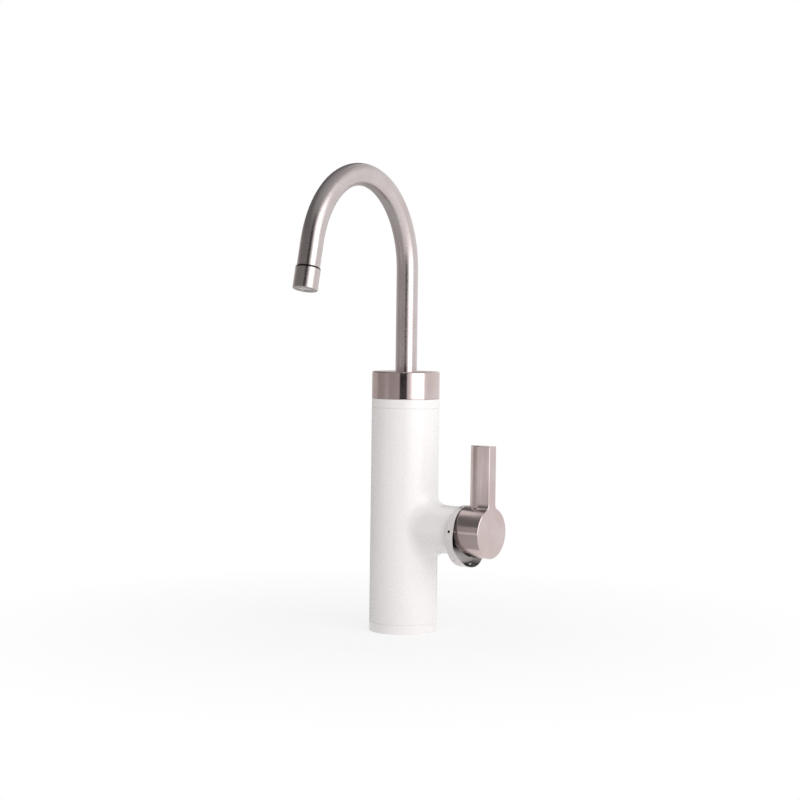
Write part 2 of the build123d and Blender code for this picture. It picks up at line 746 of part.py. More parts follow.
# Grub screw that locks the handle on the stem, from below
with BuildPart() as handle_set_screw:
    with BuildSketch(Plane.XY.offset(branch_height - stem_side / 2 - slip_fit)):
        with Locations((set_screw_place, 0)):
            Circle(set_screw_radius)
    extrude(amount=-set_screw_length)
    with BuildSketch(Plane.XY.offset(branch_height - stem_side / 2 - slip_fit - set_screw_length)):
        with Locations((set_screw_place, 0)):
            RegularPolygon(set_screw_socket_radius, socket_sides)
    extrude(amount=set_screw_socket_depth, mode=Mode.SUBTRACT)
handle_set_screw.part.label = "handle_set_screw"
export_step(handle_set_screw.part, "parts/handle_set_screw.step")

# Neck ring: closes the shell above and centres the collar
with BuildPart() as neck_ring:
    with BuildSketch(Plane.XZ):
        band(neck_inner, body_radius, shell_top, body_height)
        band(neck_inner, fitted_radius, shell_top - spigot_height, body_height + spigot_height)
    revolve(axis=Axis.Z)
    outer_edges = neck_ring.edges().filter_by(GeomType.CIRCLE).group_by(SortBy.RADIUS)[-1]
    chamfer(outer_edges.sort_by(Axis.Z)[0], seam_chamfer)
neck_ring.part.label = "neck_ring"
export_step(neck_ring.part, "parts/neck_ring.step")

# Filter canister: cup with a nipple below, a flange above and ribs on its floor
with BuildPart() as filter_canister:
    with BuildSketch(Plane.XZ):
        band(0, canister_radius, canister_bottom, canister_bottom + canister_floor)
        band(canister_inner, canister_radius, canister_bottom, canister_top)
        band(canister_inner, fitted_radius, canister_top - canister_flange, canister_top)
        band(0, nipple_radius, canister_bottom - nipple_length, canister_bottom)
    revolve(axis=Axis.Z)
    with BuildSketch(Plane.XY.offset(canister_bottom + canister_floor)):
        with PolarLocations(filter_radius / 2 + nipple_bore, canister_rib_count):
            Rectangle(filter_radius - nipple_bore, canister_rib_width)
    extrude(amount=canister_rib_height)
    with BuildSketch(Plane.XY.offset(canister_bottom - nipple_length)):
        Circle(nipple_bore)
    extrude(amount=nipple_length + canister_floor, mode=Mode.SUBTRACT)
filter_canister.part.label = "filter_canister"
export_step(filter_canister.part, "parts/filter_canister.step")

# Lower cap of the filter cartridge
with BuildPart() as filter_lower_cap:
    with BuildSketch(Plane.XZ):
        band(0, filter_radius + filter_cap_lip, filter_bottom, filter_bottom + filter_cap_thickness)
    revolve(axis=Axis.Z)
    chamfer(filter_lower_cap.edges().filter_by(GeomType.CIRCLE), filter_cap_lip)
filter_lower_cap.part.label = "filter_lower_cap"
export_step(filter_lower_cap.part, "parts/filter_lower_cap.step")

# Carbon block, hollow for the filtered water
with BuildPart() as carbon_block:
    with BuildSketch(Plane.XZ):
        band(filter_bore, filter_radius - fleece_thickness,
             filter_bottom + filter_cap_thickness, filter_top)
    revolve(axis=Axis.Z)
carbon_block.part.label = "carbon_block"
export_step(carbon_block.part, "parts/carbon_block.step")

# Fleece round the carbon block
with BuildPart() as filter_fleece:
    with BuildSketch(Plane.XZ):
        band(filter_radius - fleece_thickness, filter_radius,
             filter_bottom + filter_cap_thickness, filter_top)
    revolve(axis=Axis.Z)
filter_fleece.part.label = "filter_fleece"
export_step(filter_fleece.part, "parts/filter_fleece.step")

# Upper cap of the filter cartridge, with the spigot that plugs into the lid
seal_height = lid_bottom + lid_seal_rise
filter_seal_radius = filter_spigot_radius - o_ring_wire
with BuildPart() as filter_upper_cap:
    with BuildSketch(Plane.XZ):
        band(0, filter_radius + filter_cap_lip, filter_top, lid_bottom)
        band(0, filter_spigot_radius, lid_bottom, lid_bottom + filter_spigot_length)
        band(filter_spigot_radius - groove_size, filter_spigot_radius,
             seal_height - groove_size / 2, seal_height + groove_size / 2,
             Mode.SUBTRACT)
        band(0, nipple_bore, filter_top, lid_bottom + filter_spigot_length, Mode.SUBTRACT)
    revolve(axis=Axis.Z)
filter_upper_cap.part.label = "filter_upper_cap"
export_step(filter_upper_cap.part, "parts/filter_upper_cap.step")

# O-ring of the filter cartridge
with BuildPart() as filter_o_ring:
    with BuildSketch(Plane.XZ):
        wire_spot(filter_seal_radius, seal_height)
    revolve(axis=Axis.Z)
filter_o_ring.part.label = "filter_o_ring"
export_step(filter_o_ring.part, "parts/filter_o_ring.step")

# Canister lid: plug, sealing groove, cap and the seats of the filter and the spout socket
lid_plug_radius = canister_inner - slip_fit
lid_seal_radius = lid_plug_radius - o_ring_wire
socket_spigot_bottom = lid_top - filter_spigot_length
filter_seat_top = lid_bottom + filter_spigot_length + slip_fit
with BuildPart() as canister_lid:
    with BuildSketch(Plane.XZ):
        band(0, lid_plug_radius, lid_bottom, canister_top)
        band(0, lid_radius, canister_top, lid_top)
        band(lid_plug_radius - groove_size, lid_plug_radius,
             seal_height - groove_size / 2, seal_height + groove_size / 2,
             Mode.SUBTRACT)
        band(0, filter_spigot_radius + slip_fit, lid_bottom, filter_seat_top, Mode.SUBTRACT)
        band(0, waterway_radius, lid_bottom, lid_top, Mode.SUBTRACT)
        band(0, filter_spigot_radius + slip_fit, socket_spigot_bottom, lid_top, Mode.SUBTRACT)
    revolve(axis=Axis.Z)
canister_lid.part.label = "canister_lid"
export_step(canister_lid.part, "parts/canister_lid.step")

# O-ring of the lid
with BuildPart() as lid_o_ring:
    with BuildSketch(Plane.XZ):
        wire_spot(lid_seal_radius, seal_height)
    revolve(axis=Axis.Z)
lid_o_ring.part.label = "lid_o_ring"
export_step(lid_o_ring.part, "parts/lid_o_ring.step")

# Spout socket: screwed into the lid, it carries the swivelling spout
lock_height = socket_bore_floor + lock_groove_height
lock_room = 2 * (lock_tip_radius + free_gap)
with BuildPart() as spout_socket:
    with BuildSketch(Plane.XZ):
        band(0, filter_spigot_radius, socket_spigot_bottom, socket_base)
        band(0, socket_radius, socket_base, socket_top)
        band(0, spigot_radius + running_fit, socket_bore_floor, socket_top, Mode.SUBTRACT)
        band(0, waterway_radius, socket_spigot_bottom, socket_top, Mode.SUBTRACT)
    revolve(axis=Axis.Z)
    with BuildSketch(Plane.XZ):
        with Locations((0, lock_height)):
            Circle(lock_screw_radius + slip_fit)
    extrude(amount=-socket_radius - cut_margin, mode=Mode.SUBTRACT)
spout_socket.part.label = "spout_socket"
export_step(spout_socket.part, "parts/spout_socket.step")

# Screw that keeps the spout in its socket: its tip runs in the groove of the spigot
lock_tip_reach = spigot_radius - lock_groove_depth + free_gap
lock_shoulder = spigot_radius + running_fit + free_gap
with BuildPart() as spout_lock_screw:
    with BuildSketch(Plane.XZ.offset(-lock_shoulder)):
        with Locations((0, lock_height)):
            Circle(lock_screw_radius)
    extrude(amount=-(socket_radius - lock_shoulder - free_gap))
    with BuildSketch(Plane.XZ.offset(-lock_tip_reach)):
        with Locations((0, lock_height)):
            Circle(lock_tip_radius)
    extrude(amount=-(lock_shoulder - lock_tip_reach))
    with BuildSketch(Plane.XZ.offset(-(socket_radius - free_gap))):
        with Locations((0, lock_height)):
            RegularPolygon(lock_socket_radius, socket_sides)
    extrude(amount=lock_socket_depth, mode=Mode.SUBTRACT)
spout_lock_screw.part.label = "spout_lock_screw"
export_step(spout_lock_screw.part, "parts/spout_lock_screw.step")

# Glide ring that the foot of the spout turns over
with BuildPart() as spout_glide_ring:
    with BuildSketch(Plane.XZ):
        band(spigot_radius + free_gap, glide_ring_radius, socket_top, socket_top + glide_ring_thickness)
    revolve(axis=Axis.Z)
spout_glide_ring.part.label = "spout_glide_ring"
export_step(spout_glide_ring.part, "parts/spout_glide_ring.step")

# Collar: brushed steel cap round the foot of the spout
with BuildPart() as collar:
    with BuildSketch(Plane.XZ):
        band(tube_radius + free_gap, body_radius, body_height, collar_top)
        band(0, body_radius - collar_wall, body_height, collar_top - collar_top_wall, Mode.SUBTRACT)
    revolve(axis=Axis.Z)
    outer_edges = collar.edges().filter_by(GeomType.CIRCLE).group_by(SortBy.RADIUS)[-1]
    chamfer(outer_edges.sort_by(Axis.Z)[-1], collar_chamfer)
    chamfer(outer_edges.sort_by(Axis.Z)[0], seam_chamfer)
collar.part.label = "collar"
export_step(collar.part, "parts/collar.step")

# Spout tube: upright, one tangent bend and a short straight to the aerator
tube_end = outlet_straight - aerator_length
with BuildPart() as spout_tube:
    with BuildLine(spout_plane):
        upright = Line((0, tube_foot), (0, bend_start))
        bend = JernArc(upright @ 1, upright % 1, bend_radius, -bend_sweep)
        Line(bend @ 1, bend @ 1 + (bend % 1) * tube_end)
    with BuildSketch(Plane.XY.offset(tube_foot)):
        Circle(tube_radius)
        Circle(tube_radius - tube_wall, mode=Mode.SUBTRACT)
    sweep()
    tube_faces = spout_tube.faces().filter_by(GeomType.PLANE)
    outlet_face = tube_faces.sort_by(Axis((0, 0, 0), spout_ahead))[-1]
    chamfer(outlet_face.edges().sort_by(SortBy.RADIUS)[-1], aerator_seam_chamfer)
spout_tube.part.label = "spout_tube"
export_step(spout_tube.part, "parts/spout_tube.step")

# Spigot in the foot of the tube, with its grooves
ring_heights = [socket_bore_floor + height for height in spout_ring_heights]
with BuildPart() as spout_spigot:
    with BuildSketch(Plane.XZ):
        band(0, spigot_radius, socket_bore_floor + free_gap, tube_foot)
        band(0, tube_radius - tube_wall - slip_fit, tube_foot, tube_foot + spigot_overlap)
        for height in ring_heights:
            band(spigot_radius - groove_size, spigot_radius, height - groove_size / 2,
                 height + groove_size / 2, Mode.SUBTRACT)
        band(spigot_radius - lock_groove_depth, spigot_radius, lock_height - lock_room / 2,
             lock_height + lock_room / 2, Mode.SUBTRACT)
        band(0, spigot_waterway, socket_bore_floor, tube_foot + spigot_overlap, Mode.SUBTRACT)
    revolve(axis=Axis.Z)
spout_spigot.part.label = "spout_spigot"
export_step(spout_spigot.part, "parts/spout_spigot.step")

# The two O-rings of the spigot
with BuildPart() as spout_o_rings:
    with BuildSketch(Plane.XZ):
        for height in ring_heights:
            wire_spot(spigot_radius - o_ring_wire, height)
    revolve(axis=Axis.Z)
spout_o_rings.part.label = "spout_o_rings"
export_step(spout_o_rings.part, "parts/spout_o_rings.step")

# Threaded bush in the end of the tube, with a shoulder for the seal
bush_bottom = tube_end - slip_fit
shoulder_top = bush_bottom - aerator_bush_length
shoulder_bottom = shoulder_top + aerator_bush_shoulder
with BuildPart() as aerator_bush:
    with BuildSketch(outlet_section):
        band(aerator_thread_radius, tube_radius - tube_wall - slip_fit, shoulder_top, bush_bottom)
        band(aerator_seal_bore, tube_radius - tube_wall - slip_fit, shoulder_top, shoulder_bottom)
    revolve(axis=outlet_axis)
aerator_bush.part.label = "aerator_bush"
export_step(aerator_bush.part, "parts/aerator_bush.step")

# Flat seal between the bush and the aerator
seal_bottom = shoulder_bottom + aerator_seal_thickness
with BuildPart() as aerator_seal:
    with BuildSketch(outlet_section):
        band(aerator_seal_bore, aerator_thread_radius - slip_fit, shoulder_bottom, seal_bottom)
    revolve(axis=outlet_axis)
aerator_seal.part.label = "aerator_seal"
export_step(aerator_seal.part, "parts/aerator_seal.step")

# Aerator shell, a little wider than the tube, below a fine seam
shell_start = tube_end + aerator_seam
with BuildPart() as aerator_shell:
    with BuildSketch(outlet_section):
        band(aerator_bore, aerator_radius, shell_start, outlet_straight)
        band(aerator_bore, aerator_thread_radius - slip_fit, seal_bottom, shell_start)
        band(aerator_lip_radius, aerator_radius, outlet_straight - aerator_lip, outlet_straight)
    revolve(axis=outlet_axis)
    outer_edges = aerator_shell.edges().filter_by(GeomType.CIRCLE).group_by(SortBy.RADIUS)[-1]
    chamfer(outer_edges, aerator_seam_chamfer)
aerator_shell.part.label = "aerator_shell"
export_step(aerator_shell.part, "parts/aerator_shell.step")

# Aerator insert: a cup with a straightener of small bores at the outlet
insert_top = seal_bottom + free_gap
insert_bottom = outlet_straight - aerator_lip - slip_fit
insert_radius = aerator_bore - slip_fit
with BuildPart() as aerator_insert:
    with BuildSketch(outlet_section):
        band(0, insert_radius, insert_bottom - straightener_thickness, insert_bottom)
        band(insert_radius - straightener_wall, insert_radius, insert_top, insert_bottom)
    revolve(axis=outlet_axis)
    jet_plane = Plane(origin=bend_end + outlet_direction * insert_bottom, x_dir=spout_side,
                      z_dir=-outlet_direction)
    with BuildSketch(jet_plane):
        Circle(jet_radius)
        for ring_radius, jet_count in jet_rings:
            with PolarLocations(ring_radius, jet_count):
                Circle(jet_radius)
    extrude(amount=straightener_thickness, mode=Mode.SUBTRACT)
aerator_insert.part.label = "aerator_insert"
export_step(aerator_insert.part, "parts/aerator_insert.step")
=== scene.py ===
import json
import math

import bpy
from mathutils import Matrix, Vector


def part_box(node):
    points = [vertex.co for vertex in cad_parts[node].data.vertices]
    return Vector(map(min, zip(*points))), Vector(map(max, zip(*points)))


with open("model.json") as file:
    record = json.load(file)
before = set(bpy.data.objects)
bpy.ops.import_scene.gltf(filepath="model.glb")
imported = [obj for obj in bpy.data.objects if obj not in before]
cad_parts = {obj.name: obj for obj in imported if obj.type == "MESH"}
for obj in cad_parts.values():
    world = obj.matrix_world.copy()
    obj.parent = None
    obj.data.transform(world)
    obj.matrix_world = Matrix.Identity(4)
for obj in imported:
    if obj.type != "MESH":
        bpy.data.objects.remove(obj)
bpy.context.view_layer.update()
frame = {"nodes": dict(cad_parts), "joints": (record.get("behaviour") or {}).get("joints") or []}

# The looks of a white kitchen mixer tap with brushed steel spout, collar and handle.
# Metres, in the frame of the CAD: the body's axis is Z and the lever branch lies along +X.

MM = 0.001

ORIGIN = Vector((0, 0, 0))
X_AXIS = Vector((1, 0, 0))
Z_AXIS = Vector((0, 0, 1))

# Places read from the frame
joint_places = {joint["name"]: Vector(joint.get("pos_m", (0, 0, 0))) for joint in frame["joints"]}
branch_height = joint_places["handle_tilt"].z
spout_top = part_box("spout_tube")[1].z

# The spout, as it is bent
tube_radius = 9.5 * MM
bend_radius = 79.1 * MM
bend_sweep = math.radians(166)
bend_height = spout_top - tube_radius - bend_radius
outlet_low, outlet_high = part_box("aerator_insert")
outlet_place = (outlet_low + outlet_high) / 2
spout_ahead = Vector((outlet_place.x, outlet_place.y, 0)).normalized()
outlet_axis = (spout_ahead * math.sin(bend_sweep) + Z_AXIS * math.cos(bend_sweep)).normalized()

# The top of the aerator's shell: its corners that lie outside the tube
# seam_width: the band of painted shade in the gap above the shell's top
seam_width = 0.9 * MM
shell_margin = 0.5 * MM
shell_mesh = frame["nodes"]["aerator_shell"].data
shell_corners = [corner.co - outlet_place for corner in shell_mesh.vertices]
shell_top = min(corner.dot(outlet_axis) for corner in shell_corners
                if corner.cross(outlet_axis).length > tube_radius + shell_margin)

# The drum of the handle
drum_radius = 22 * MM
lever_foot_height = branch_height + 0.97 * drum_radius

# The ring at the mouth of the branch: its axis runs along +X
ring_low, ring_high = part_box("bezel_ring")
ring_centre = (ring_low + ring_high) / 2
ring_radius = (ring_high.z - ring_low.z) / 2
ring_wall = 0.5 * MM
ring_floor = 64.2 * MM      # the X of the cup's floor
floor_margin = 0.8 * MM


class Shader:
    """A node material, with short calls for the nodes it is made of."""

    def __init__(self, name):
        self.material = bpy.data.materials.new(name)
        self.material.use_nodes = True
        self.tree = self.material.node_tree
        self.surface = self.tree.nodes["Principled BSDF"]
        self.place = self.add("ShaderNodeTexCoord").outputs["Object"]

    def add(self, kind, **settings):
        node = self.tree.nodes.new(kind)
        for name, value in settings.items():
            setattr(node, name, value)
        return node

    def feed(self, socket, value):
        """Links a socket, or sets a plain value."""
        if isinstance(value, bpy.types.NodeSocket):
            self.tree.links.new(value, socket)
        else:
            socket.default_value = value

    def set(self, **values):
        """Sets the shader's own sockets, named in lower case with underscores."""
        for name, value in values.items():
            self.feed(self.surface.inputs[name.replace("_", " ").title()], value)

    def math(self, operation, *values):
        node = self.add("ShaderNodeMath", operation=operation)
        for socket, value in zip(node.inputs, values):
            self.feed(socket, value)
        return node.outputs[0]

    def vector(self, operation, *values):
        node = self.add("ShaderNodeVectorMath", operation=operation)
        for socket, value in zip(node.inputs, values):
            self.feed(socket, value)
        scalar = operation in ("DOT_PRODUCT", "LENGTH")
        return node.outputs["Value" if scalar else "Vector"]

    def scaled(self, vector, factor):
        node = self.add("ShaderNodeVectorMath", operation="SCALE")
        self.feed(node.inputs["Vector"], vector)
        self.feed(node.inputs["Scale"], factor)
        return node.outputs["Vector"]

    def combine(self, x, y, z):
        node = self.add("ShaderNodeCombineXYZ")
        for socket, value in zip(node.inputs, (x, y, z)):
            self.feed(socket, value)
        return node.outputs[0]

    def noise(self, vector, scale, detail, across=None):
        """Noise at a scale in 1/m, drawn out where a fourth coordinate is given."""
        node = self.add("ShaderNodeTexNoise", noise_dimensions="3D" if across is None else "4D")
        self.feed(node.inputs["Vector"], vector)
        node.inputs["Scale"].default_value = scale
        node.inputs["Detail"].default_value = detail
        if across is not None:
            self.feed(node.inputs["W"], across)
        return node.outputs["Fac"]

    def spread(self, value, low, high, out_low=0.0, out_high=1.0):
        """Maps low..high to out_low..out_high, and stays within them."""
        node = self.add("ShaderNodeMapRange")
        for socket, number in zip(node.inputs, (value, low, high, out_low, out_high)):
            self.feed(socket, number)
        return node.outputs["Result"]

    def tint(self, factor, first, second):
        node = self.add("ShaderNodeMix", data_type="RGBA")
        self.feed(node.inputs["Factor"], factor)
        self.feed(node.inputs["A"], (*first, 1) if isinstance(first, tuple) else first)
        self.feed(node.inputs["B"], (*second, 1) if isinstance(second, tuple) else second)
        return node.outputs["Result"]

    def mix_vectors(self, factor, first, second):
        node = self.add("ShaderNodeMix", data_type="VECTOR")
        self.feed(node.inputs["Factor"], factor)
        vectors = [socket for socket in node.inputs if socket.type == "VECTOR"]
        self.feed(vectors[-2], first)
        self.feed(vectors[-1], second)
        return next(socket for socket in node.outputs if socket.type == "VECTOR")

    def bump(self, height, depth):
        """Bump from a height of 0 to 1, with its depth in metres."""
        node = self.add("ShaderNodeBump")
        node.inputs["Strength"].default_value = 1.0
        node.inputs["Distance"].default_value = depth
        self.feed(node.inputs["Height"], height)
        self.feed(self.surface.inputs["Normal"], node.outputs["Normal"])


# Ways that a brushed surface runs

def turned_way(shader, centre, axis):
    """Scratches round an axis: (their direction, a coordinate that runs across them)."""
    from_centre = shader.vector("SUBTRACT", shader.place, centre)
    along = shader.vector("DOT_PRODUCT", from_centre, axis)
    outward = shader.vector("SUBTRACT", from_centre, shader.scaled(axis, along))
    radius = shader.vector("LENGTH", outward)
    direction = shader.vector("CROSS_PRODUCT", axis, outward)
    return direction, shader.math("ADD", along, radius)


def bent_way(shader):
    """Scratches round the spout's tube, whose axis turns with the bend."""
    start = spout_ahead * bend_radius + Z_AXIS * bend_height
    from_centre = shader.vector("SUBTRACT", shader.place, start)
    ahead = shader.vector("DOT_PRODUCT", from_centre, spout_ahead)
    up = shader.vector("DOT_PRODUCT", from_centre, Z_AXIS)
    behind = shader.math("MULTIPLY", ahead, -1.0)
    turn = shader.math("ARCTAN2", shader.math("MAXIMUM", up, 0.0), behind)
    turn = shader.math("MINIMUM", turn, bend_sweep)
    sine, cosine = shader.math("SINE", turn), shader.math("COSINE", turn)
    axis = shader.vector("ADD", shader.scaled(spout_ahead, sine), shader.scaled(Z_AXIS, cosine))
    outward = shader.vector("SUBTRACT", shader.scaled(Z_AXIS, sine),
                            shader.scaled(spout_ahead, cosine))
    line = shader.scaled(outward, bend_radius)
    from_line = shader.vector("SUBTRACT", from_centre, line)
    straight = shader.vector("DOT_PRODUCT", from_line, axis)
    direction = shader.vector("CROSS_PRODUCT", axis, from_line)
    return direction, shader.math("ADD", straight, shader.math("MULTIPLY", turn, bend_radius))


def handle_way(shader):
    """Scratches round the drum, and along the lever that stands up from it."""
    round_drum, across_drum = turned_way(shader, Z_AXIS * branch_height, X_AXIS)
    split = shader.add("ShaderNodeSeparateXYZ")
    shader.feed(split.inputs[0], shader.place)
    x, y, z = split.outputs
    on_lever = shader.math("GREATER_THAN", z, lever_foot_height)
    across_lever = shader.math("ADD", x, y)
    direction = shader.mix_vectors(on_lever, round_drum, Z_AXIS)
    across = shader.math("ADD", shader.math("MULTIPLY", across_lever, on_lever),
                         shader.math("MULTIPLY", across_drum,
                                     shader.math("SUBTRACT", 1.0, on_lever)))
    return direction, across


# Materials of the outside

# Light and dark tone of the steel, cooler on the spout and warmer on the collar and handle
TUBE_STEEL = ((0.65, 0.59, 0.585), (0.61, 0.535, 0.525))
WARM_STEEL = ((0.66, 0.565, 0.555), (0.62, 0.505, 0.49))
SCRATCH_TONE = (0.42, 0.37, 0.36)
# Near-black painted shade for the gap at the seam over the aerator
SEAM_PAINTED_SHADE = (0.01, 0.01, 0.01)
# Near-black painted shade for inside the bezel ring, under the drum
RING_PAINTED_SHADE = (0.015, 0.014, 0.014)

# Scratches per metre: (along them, across them)
FINE_SCRATCHES = (30.0, 5200.0)
BROAD_SCRATCHES = (18.0, 700.0)


def scratches(shader, across, scales, detail):
    """Noise drawn out along the surface's way, fine across it."""
    along_scale, across_scale = scales
    return shader.noise(shader.scaled(shader.place, along_scale), 1.0, detail,
                        across=shader.math("MULTIPLY", across, across_scale))


def brushed_steel(name, tones, way, roughness=0.27, seam=False, **way_settings):
    """Satin stainless steel with fine scratches, and near-black painted shade in the seam's gap
    over the aerator.
    """
    shader = Shader(name)
    direction, across = way(shader, **way_settings)
    fine = scratches(shader, across, FINE_SCRATCHES, 3.0)
    broad = scratches(shader, across, BROAD_SCRATCHES, 2.0)
    handled = shader.noise(shader.place, 45.0, 3.0)
    streaks = shader.math("ADD", shader.math("MULTIPLY", fine, 0.6),
                          shader.math("MULTIPLY", broad, 0.4))
    colour = shader.tint(shader.spread(handled, 0.35, 0.65), *tones)
    # Painted shade: a near-black band in the gap where the tube meets the aerator's shell
    if seam:
        down = shader.vector("DOT_PRODUCT", shader.vector("SUBTRACT", shader.place, outlet_place),
                             outlet_axis)
        seam_shade_mask = shader.math("LESS_THAN", down, shell_top + seam_width)
        colour = shader.tint(seam_shade_mask, colour, SEAM_PAINTED_SHADE)
    shader.set(
        base_color=shader.tint(shader.spread(streaks, 0.3, 0.7, 0.0, 0.16), colour, SCRATCH_TONE),
        metallic=1.0,
        roughness=shader.spread(streaks, 0.25, 0.75, roughness - 0.05, roughness + 0.08),
        anisotropic=0.75,
        anisotropic_rotation=0.25,
    )
    to_world = shader.add("ShaderNodeVectorTransform", vector_type="VECTOR",
                          convert_from="OBJECT", convert_to="WORLD")
    shader.feed(to_world.inputs[0], shader.vector("NORMALIZE", direction))
    shader.feed(shader.surface.inputs["Tangent"], to_world.outputs[0])
    shader.bump(streaks, 0.012 * MM)
    return shader.material


def enamel(name, light, dark, coat):
    """The shader of an enamel with the faint ripple of sprayed paint."""
    shader = Shader(name)
    cloud = shader.noise(shader.place, 22.0, 3.0)
    dust = shader.noise(shader.place, 900.0, 2.0)
    shader.set(
        base_color=shader.tint(shader.spread(cloud, 0.3, 0.7), light, dark),
        roughness=shader.spread(dust, 0.3, 0.7, 0.24, 0.32),
        coat_weight=coat,
        coat_roughness=0.12,
    )
    ripple = shader.noise(shader.place, 420.0, 2.0)
    shader.bump(ripple, 0.02 * MM)
    return shader


def ring_enamel():
    """Pale enamel, with near-black painted shade inside: on the lip and on the upper part of the
    cup's floor, where the drum's shade falls.
    """
    shader = enamel("pale_enamel", (0.72, 0.685, 0.675), (0.67, 0.635, 0.625), 0.1)
    pale = shader.surface.inputs["Base Color"].links[0].from_socket
    from_centre = shader.vector("SUBTRACT", shader.place, ring_centre)
    flat = shader.vector("MULTIPLY", from_centre, (0.0, 1.0, 1.0))
    inside = shader.math("LESS_THAN", shader.vector("LENGTH", flat), ring_radius - ring_wall / 2)
    below = shader.math("MULTIPLY", shader.vector("DOT_PRODUCT", flat, -Z_AXIS), 1 / ring_radius)
    lip_shade = shader.spread(below, 0.82, 0.93)
    along = shader.vector("DOT_PRODUCT", shader.place, X_AXIS)
    floor = shader.math("MULTIPLY", shader.spread(below, 0.3, 0.5, 1.0, 0.0),
                        shader.math("LESS_THAN", along, ring_floor + floor_margin))
    # Painted shade: the lip and the upper floor inside the ring go near-black, where the drum's
    # shade falls
    dark = shader.math("MULTIPLY", inside, shader.math("MAXIMUM", lip_shade, floor))
    shader.set(base_color=shader.tint(dark, pale, RING_PAINTED_SHADE))
    return shader.material


# Materials of the inside

TOOL_MARKS = (25.0, 2600.0)     # per metre: (along them, across them)


def machined(name, light, dark, roughness):
    """Turned metal: fine tool marks across Z, with a little tarnish."""
    shader = Shader(name)
    across = turned_way(shader, ORIGIN, Z_AXIS)[1]
    marks = scratches(shader, across, TOOL_MARKS, 2.0)
    tarnish = shader.noise(shader.place, 90.0, 4.0)
    shader.set(
        base_color=shader.tint(shader.spread(tarnish, 0.35, 0.7), light, dark),
        metallic=1.0,
        roughness=shader.spread(marks, 0.25, 0.75, roughness - 0.06, roughness + 0.1),
    )
    shader.bump(marks, 0.015 * MM)
    return shader.material


def moulded(name, light, dark, roughness, grain=1400.0, depth=0.02 * MM):
    """Moulded plastic, rubber or pressed material with a fine even grain."""
    shader = Shader(name)
    speckle = shader.noise(shader.place, grain, 3.0)
    cloud = shader.noise(shader.place, 60.0, 2.0)
    shader.set(
        base_color=shader.tint(shader.spread(cloud, 0.3, 0.7), light, dark),
        roughness=shader.spread(speckle, 0.3, 0.7, roughness - 0.06, roughness + 0.06),
    )
    shader.bump(speckle, depth)
    return shader.material


def fleece():
    """Needled fleece: long crossed fibres."""
    shader = Shader("fleece")
    along = shader.noise(shader.vector("MULTIPLY", shader.place, (900.0, 900.0, 140.0)), 1.0, 3.0)
    over = shader.noise(shader.vector("MULTIPLY", shader.place, (160.0, 160.0, 1100.0)), 1.0, 3.0)
    fibres = shader.math("MAXIMUM", along, over)
    shader.set(
        base_color=shader.tint(shader.spread(fibres, 0.45, 0.7), (0.70, 0.69, 0.66),
                               (0.86, 0.85, 0.82)),
        roughness=0.9,
        sheen_weight=0.3,
    )
    shader.bump(fibres, 0.25 * MM)
    return shader.material


outfits = {
    brushed_steel("collar_steel", WARM_STEEL, turned_way, 0.14, centre=ORIGIN, axis=Z_AXIS): [
        "collar"],
    brushed_steel("tube_steel", TUBE_STEEL, bent_way): ["spout_tube"],
    brushed_steel("aerator_steel", TUBE_STEEL, turned_way, seam=True, centre=outlet_place,
                  axis=outlet_axis): ["aerator_shell"],
    brushed_steel("handle_steel", WARM_STEEL, handle_way, 0.2): ["handle"],
    ring_enamel(): ["bezel_ring"],
    enamel("white_enamel", (0.875, 0.850, 0.842), (0.862, 0.838, 0.828), 0.35).material: [
        "base_ring", "body_shell", "neck_ring"],
    machined("brass", (0.74, 0.56, 0.27), (0.60, 0.42, 0.20), 0.3): [
        "inlet_block", "valve_housing", "cartridge_nut", "spout_socket", "spout_spigot",
        "aerator_bush"],
    machined("turned_steel", (0.62, 0.61, 0.60), (0.52, 0.51, 0.50), 0.25): [
        "hot_riser", "cold_riser", "lever_pin", "lever_stem"],
    machined("screw_steel", (0.55, 0.54, 0.53), (0.42, 0.41, 0.40), 0.35): [
        "base_screws", "handle_set_screw", "spout_lock_screw"],
    moulded("ceramic", (0.87, 0.86, 0.82), (0.80, 0.79, 0.76), 0.2, 2500.0, 0.004 * MM): [
        "fixed_disc", "moving_disc"],
    moulded("cartridge_plastic", (0.66, 0.68, 0.70), (0.60, 0.62, 0.64), 0.45): [
        "cartridge_base", "cartridge_housing", "lever_carrier", "disc_driver"],
    moulded("filter_plastic", (0.76, 0.79, 0.82), (0.70, 0.73, 0.77), 0.4): [
        "filter_canister", "canister_lid", "filter_lower_cap", "filter_upper_cap"],
    moulded("glide_plastic", (0.85, 0.85, 0.82), (0.79, 0.79, 0.76), 0.4): ["spout_glide_ring"],
    moulded("insert_plastic", (0.72, 0.72, 0.71), (0.64, 0.64, 0.63), 0.45): ["aerator_insert"],
    moulded("carbon", (0.022, 0.022, 0.024), (0.05, 0.05, 0.052), 0.85, 800.0, 0.3 * MM): [
        "carbon_block"],
    fleece(): ["filter_fleece"],
    moulded("rubber", (0.018, 0.018, 0.019), (0.03, 0.03, 0.03), 0.6, 1800.0): [
        "base_gasket", "riser_o_rings", "outlet_o_ring", "port_seals", "filter_o_ring",
        "lid_o_ring", "spout_o_rings", "aerator_seal"],
}
for material, names in outfits.items():
    for name in names:
        node = frame["nodes"][name]
        node.data.materials.clear()
        node.data.materials.append(material)


# Floor: white to the eye and to the metal, with the tap's soft shadow round its foot

floor_half_size = 12.0
floor_colour = (0.92, 0.92, 0.92)
shadow_share = 0.28
shadow_start, shadow_end = 0.105, 0.42      # distances from the tap's axis


